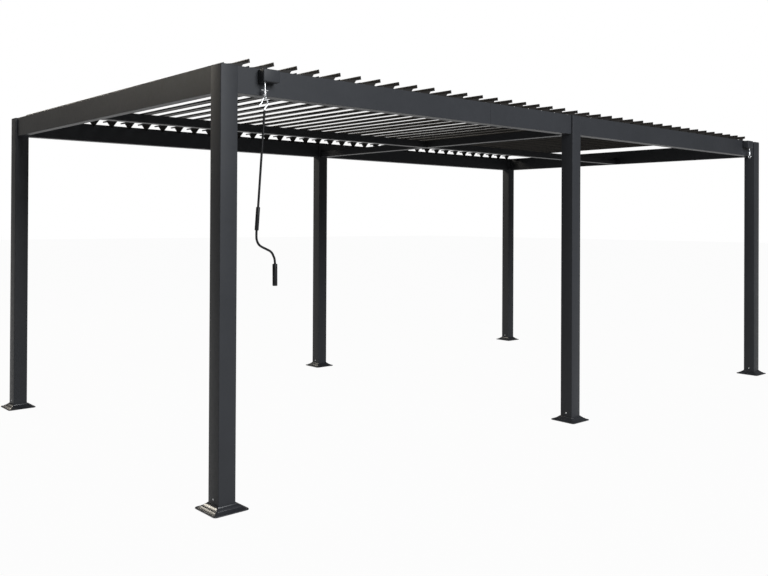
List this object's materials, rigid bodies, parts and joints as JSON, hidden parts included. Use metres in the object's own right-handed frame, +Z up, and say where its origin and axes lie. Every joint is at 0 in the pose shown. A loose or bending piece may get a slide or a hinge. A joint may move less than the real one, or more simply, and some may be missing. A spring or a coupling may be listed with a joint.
{
  "type": "louvered pergola",
  "caption": "Free-standing louvered pergola: posts on foot covers, a beam frame, banks of turning louvers, gearboxes and a hanging crank.",
  "frame": {"origin": "on the ground, in the middle of the six posts", "axes": "+X along the length towards the right end, +Y from the crank side to the back, +Z up"},
  "size_m": [6.105, 3.255, 2.3155],
  "materials": {
    "frame_paint": "matt powder coat, anthracite",
    "louver_paint": "matt powder coat, anthracite",
    "black_plastic": "black",
    "zinc": "bright zinc plate"
  },
  "bodies": {
    "frame": {"post_front_left": "frame_paint", "post_front_middle": "frame_paint", "post_front_right": "frame_paint", "post_back_left": "frame_paint", "post_back_middle": "frame_paint", "post_back_right": "frame_paint", "front_beam_left": "frame_paint", "front_beam_right": "frame_paint", "back_beam_left": "frame_paint", "back_beam_right": "frame_paint", "left_end_beam": "frame_paint", "right_end_beam": "frame_paint", "cross_beam": "frame_paint", "mid_beam_left": "frame_paint", "mid_beam_right": "frame_paint", "gearbox_left": "frame_paint", "gearbox_right": "frame_paint"},
    "louver_01": {"louver_01": "louver_paint"},
    "louver_02": {"louver_02": "louver_paint"},
    "louver_03": {"louver_03": "louver_paint"},
    "louver_04": {"louver_04": "louver_paint"},
    "louver_05": {"louver_05": "louver_paint"},
    "louver_06": {"louver_06": "louver_paint"},
    "louver_07": {"louver_07": "louver_paint"},
    "louver_08": {"louver_08": "louver_paint"},
    "louver_09": {"louver_09": "louver_paint"},
    "louver_10": {"louver_10": "louver_paint"},
    "louver_11": {"louver_11": "louver_paint"},
    "louver_12": {"louver_12": "louver_paint"},
    "louver_13": {"louver_13": "louver_paint"},
    "louver_14": {"louver_14": "louver_paint"},
    "louver_15": {"louver_15": "louver_paint"},
    "louver_16": {"louver_16": "louver_paint"},
    "louver_17": {"louver_17": "louver_paint"},
    "louver_18": {"louver_18": "louver_paint"},
    "louver_19": {"louver_19": "louver_paint"},
    "louver_20": {"louver_20": "louver_paint"},
    "louver_21": {"louver_21": "louver_paint"},
    "louver_22": {"louver_22": "louver_paint"},
    "louver_23": {"louver_23": "louver_paint"},
    "louver_24": {"louver_24": "louver_paint"},
    "louver_25": {"louver_25": "louver_paint"},
    "louver_26": {"louver_26": "louver_paint"},
    "louver_27": {"louver_27": "louver_paint"},
    "louver_28": {"louver_28": "louver_paint"},
    "louver_29": {"louver_29": "louver_paint"},
    "louver_30": {"louver_30": "louver_paint"},
    "louver_31": {"louver_31": "louver_paint"},
    "louver_32": {"louver_32": "louver_paint"},
    "louver_33": {"louver_33": "louver_paint"},
    "louver_34": {"louver_34": "louver_paint"},
    "louver_35": {"louver_35": "louver_paint"},
    "louver_36": {"louver_36": "louver_paint"},
    "louver_37": {"louver_37": "louver_paint"},
    "louver_38": {"louver_38": "louver_paint"},
    "eye_left": {"gearbox_eye_left": "zinc"},
    "eye_right": {"gearbox_eye_right": "zinc"},
    "crank": {"crank_rod": "black_plastic", "crank_sleeve": "black_plastic", "crank_grip": "black_plastic"}
  },
  "joints": [
    {"name": "louver_01_turn", "type": "hinge", "parent": "frame", "child": "louver_01", "pos_m": [-2.8465, 0, 2.24], "axis": [0, -1, 0], "range_deg": [-3.5, 80]},
    {"name": "louver_02_turn", "type": "hinge", "parent": "frame", "child": "louver_02", "pos_m": [-2.69271, 0, 2.24], "axis": [0, -1, 0], "range_deg": [-3.5, 80]},
    {"name": "louver_03_turn", "type": "hinge", "parent": "frame", "child": "louver_03", "pos_m": [-2.53892, 0, 2.24], "axis": [0, -1, 0], "range_deg": [-3.5, 80]},
    {"name": "louver_04_turn", "type": "hinge", "parent": "frame", "child": "louver_04", "pos_m": [-2.38513, 0, 2.24], "axis": [0, -1, 0], "range_deg": [-3.5, 80]},
    {"name": "louver_05_turn", "type": "hinge", "parent": "frame", "child": "louver_05", "pos_m": [-2.23134, 0, 2.24], "axis": [0, -1, 0], "range_deg": [-3.5, 80]},
    {"name": "louver_06_turn", "type": "hinge", "parent": "frame", "child": "louver_06", "pos_m": [-2.07755, 0, 2.24], "axis": [0, -1, 0], "range_deg": [-3.5, 80]},
    {"name": "louver_07_turn", "type": "hinge", "parent": "frame", "child": "louver_07", "pos_m": [-1.92376, 0, 2.24], "axis": [0, -1, 0], "range_deg": [-3.5, 80]},
    {"name": "louver_08_turn", "type": "hinge", "parent": "frame", "child": "louver_08", "pos_m": [-1.76997, 0, 2.24], "axis": [0, -1, 0], "range_deg": [-3.5, 80]},
    {"name": "louver_09_turn", "type": "hinge", "parent": "frame", "child": "louver_09", "pos_m": [-1.61618, 0, 2.24], "axis": [0, -1, 0], "range_deg": [-3.5, 80]},
    {"name": "louver_10_turn", "type": "hinge", "parent": "frame", "child": "louver_10", "pos_m": [-1.46239, 0, 2.24], "axis": [0, -1, 0], "range_deg": [-3.5, 80]},
    {"name": "louver_11_turn", "type": "hinge", "parent": "frame", "child": "louver_11", "pos_m": [-1.3086, 0, 2.24], "axis": [0, -1, 0], "range_deg": [-3.5, 80]},
    {"name": "louver_12_turn", "type": "hinge", "parent": "frame", "child": "louver_12", "pos_m": [-1.15481, 0, 2.24], "axis": [0, -1, 0], "range_deg": [-3.5, 80]},
    {"name": "louver_13_turn", "type": "hinge", "parent": "frame", "child": "louver_13", "pos_m": [-1.00102, 0, 2.24], "axis": [0, -1, 0], "range_deg": [-3.5, 80]},
    {"name": "louver_14_turn", "type": "hinge", "parent": "frame", "child": "louver_14", "pos_m": [-0.84723, 0, 2.24], "axis": [0, -1, 0], "range_deg": [-3.5, 80]},
    {"name": "louver_15_turn", "type": "hinge", "parent": "frame", "child": "louver_15", "pos_m": [-0.69344, 0, 2.24], "axis": [0, -1, 0], "range_deg": [-3.5, 80]},
    {"name": "louver_16_turn", "type": "hinge", "parent": "frame", "child": "louver_16", "pos_m": [-0.53965, 0, 2.24], "axis": [0, -1, 0], "range_deg": [-3.5, 80]},
    {"name": "louver_17_turn", "type": "hinge", "parent": "frame", "child": "louver_17", "pos_m": [-0.38586, 0, 2.24], "axis": [0, -1, 0], "range_deg": [-3.5, 80]},
    {"name": "louver_18_turn", "type": "hinge", "parent": "frame", "child": "louver_18", "pos_m": [-0.23207, 0, 2.24], "axis": [0, -1, 0], "range_deg": [-3.5, 80]},
    {"name": "louver_19_turn", "type": "hinge", "parent": "frame", "child": "louver_19", "pos_m": [-0.07828, 0, 2.24], "axis": [0, -1, 0], "range_deg": [-3.5, 80]},
    {"name": "louver_20_turn", "type": "hinge", "parent": "frame", "child": "louver_20", "pos_m": [0.07551, 0, 2.24], "axis": [0, -1, 0], "range_deg": [-1, 82.5]},
    {"name": "louver_21_turn", "type": "hinge", "parent": "frame", "child": "louver_21", "pos_m": [0.2293, 0, 2.24], "axis": [0, -1, 0], "range_deg": [-1, 82.5]},
    {"name": "louver_22_turn", "type": "hinge", "parent": "frame", "child": "louver_22", "pos_m": [0.38309, 0, 2.24], "axis": [0, -1, 0], "range_deg": [-1, 82.5]},
    {"name": "louver_23_turn", "type": "hinge", "parent": "frame", "child": "louver_23", "pos_m": [0.53688, 0, 2.24], "axis": [0, -1, 0], "range_deg": [-1, 82.5]},
    {"name": "louver_24_turn", "type": "hinge", "parent": "frame", "child": "louver_24", "pos_m": [0.69067, 0, 2.24], "axis": [0, -1, 0], "range_deg": [-1, 82.5]},
    {"name": "louver_25_turn", "type": "hinge", "parent": "frame", "child": "louver_25", "pos_m": [0.84446, 0, 2.24], "axis": [0, -1, 0], "range_deg": [-1, 82.5]},
    {"name": "louver_26_turn", "type": "hinge", "parent": "frame", "child": "louver_26", "pos_m": [0.99825, 0, 2.24], "axis": [0, -1, 0], "range_deg": [-1, 82.5]},
    {"name": "louver_27_turn", "type": "hinge", "parent": "frame", "child": "louver_27", "pos_m": [1.15204, 0, 2.24], "axis": [0, -1, 0], "range_deg": [-1, 82.5]},
    {"name": "louver_28_turn", "type": "hinge", "parent": "frame", "child": "louver_28", "pos_m": [1.30583, 0, 2.24], "axis": [0, -1, 0], "range_deg": [-1, 82.5]},
    {"name": "louver_29_turn", "type": "hinge", "parent": "frame", "child": "louver_29", "pos_m": [1.45962, 0, 2.24], "axis": [0, -1, 0], "range_deg": [-1, 82.5]},
    {"name": "louver_30_turn", "type": "hinge", "parent": "frame", "child": "louver_30", "pos_m": [1.61341, 0, 2.24], "axis": [0, -1, 0], "range_deg": [-1, 82.5]},
    {"name": "louver_31_turn", "type": "hinge", "parent": "frame", "child": "louver_31", "pos_m": [1.7672, 0, 2.24], "axis": [0, -1, 0], "range_deg": [-1, 82.5]},
    {"name": "louver_32_turn", "type": "hinge", "parent": "frame", "child": "louver_32", "pos_m": [1.92099, 0, 2.24], "axis": [0, -1, 0], "range_deg": [-1, 82.5]},
    {"name": "louver_33_turn", "type": "hinge", "parent": "frame", "child": "louver_33", "pos_m": [2.07478, 0, 2.24], "axis": [0, -1, 0], "range_deg": [-1, 82.5]},
    {"name": "louver_34_turn", "type": "hinge", "parent": "frame", "child": "louver_34", "pos_m": [2.22857, 0, 2.24], "axis": [0, -1, 0], "range_deg": [-1, 82.5]},
    {"name": "louver_35_turn", "type": "hinge", "parent": "frame", "child": "louver_35", "pos_m": [2.38236, 0, 2.24], "axis": [0, -1, 0], "range_deg": [-1, 82.5]},
    {"name": "louver_36_turn", "type": "hinge", "parent": "frame", "child": "louver_36", "pos_m": [2.53615, 0, 2.24], "axis": [0, -1, 0], "range_deg": [-1, 82.5]},
    {"name": "louver_37_turn", "type": "hinge", "parent": "frame", "child": "louver_37", "pos_m": [2.68994, 0, 2.24], "axis": [0, -1, 0], "range_deg": [-1, 82.5]},
    {"name": "louver_38_turn", "type": "hinge", "parent": "frame", "child": "louver_38", "pos_m": [2.84373, 0, 2.24], "axis": [0, -1, 0], "range_deg": [-1, 82.5]},
    {"name": "eye_left_turn", "type": "hinge", "parent": "frame", "child": "eye_left", "pos_m": [-2.751, -1.595, 2.178], "axis": [0, 0, 1], "continuous": true},
    {"name": "eye_right_turn", "type": "hinge", "parent": "frame", "child": "eye_right", "pos_m": [2.7507, -1.595, 2.178], "axis": [0, 0, 1], "continuous": true},
    {"name": "crank_swing", "type": "hinge", "parent": "eye_left", "child": "crank", "pos_m": [-2.751, -1.595, 2.0931], "axis": [1, 0, 0], "range_deg": [-45, 10]}
  ],
  "couplings": [
    {"joint": "louver_02_turn", "follows": "louver_01_turn", "ratio": 1},
    {"joint": "louver_03_turn", "follows": "louver_01_turn", "ratio": 1},
    {"joint": "louver_04_turn", "follows": "louver_01_turn", "ratio": 1},
    {"joint": "louver_05_turn", "follows": "louver_01_turn", "ratio": 1},
    {"joint": "louver_06_turn", "follows": "louver_01_turn", "ratio": 1},
    {"joint": "louver_07_turn", "follows": "louver_01_turn", "ratio": 1},
    {"joint": "louver_08_turn", "follows": "louver_01_turn", "ratio": 1},
    {"joint": "louver_09_turn", "follows": "louver_01_turn", "ratio": 1},
    {"joint": "louver_10_turn", "follows": "louver_01_turn", "ratio": 1},
    {"joint": "louver_11_turn", "follows": "louver_01_turn", "ratio": 1},
    {"joint": "louver_12_turn", "follows": "louver_01_turn", "ratio": 1},
    {"joint": "louver_13_turn", "follows": "louver_01_turn", "ratio": 1},
    {"joint": "louver_14_turn", "follows": "louver_01_turn", "ratio": 1},
    {"joint": "louver_15_turn", "follows": "louver_01_turn", "ratio": 1},
    {"joint": "louver_16_turn", "follows": "louver_01_turn", "ratio": 1},
    {"joint": "louver_17_turn", "follows": "louver_01_turn", "ratio": 1},
    {"joint": "louver_18_turn", "follows": "louver_01_turn", "ratio": 1},
    {"joint": "louver_19_turn", "follows": "louver_01_turn", "ratio": 1},
    {"joint": "louver_21_turn", "follows": "louver_20_turn", "ratio": 1},
    {"joint": "louver_22_turn", "follows": "louver_20_turn", "ratio": 1},
    {"joint": "louver_23_turn", "follows": "louver_20_turn", "ratio": 1},
    {"joint": "louver_24_turn", "follows": "louver_20_turn", "ratio": 1},
    {"joint": "louver_25_turn", "follows": "louver_20_turn", "ratio": 1},
    {"joint": "louver_26_turn", "follows": "louver_20_turn", "ratio": 1},
    {"joint": "louver_27_turn", "follows": "louver_20_turn", "ratio": 1},
    {"joint": "louver_28_turn", "follows": "louver_20_turn", "ratio": 1},
    {"joint": "louver_29_turn", "follows": "louver_20_turn", "ratio": 1},
    {"joint": "louver_30_turn", "follows": "louver_20_turn", "ratio": 1},
    {"joint": "louver_31_turn", "follows": "louver_20_turn", "ratio": 1},
    {"joint": "louver_32_turn", "follows": "louver_20_turn", "ratio": 1},
    {"joint": "louver_33_turn", "follows": "louver_20_turn", "ratio": 1},
    {"joint": "louver_34_turn", "follows": "louver_20_turn", "ratio": 1},
    {"joint": "louver_35_turn", "follows": "louver_20_turn", "ratio": 1},
    {"joint": "louver_36_turn", "follows": "louver_20_turn", "ratio": 1},
    {"joint": "louver_37_turn", "follows": "louver_20_turn", "ratio": 1},
    {"joint": "louver_38_turn", "follows": "louver_20_turn", "ratio": 1}
  ]
}
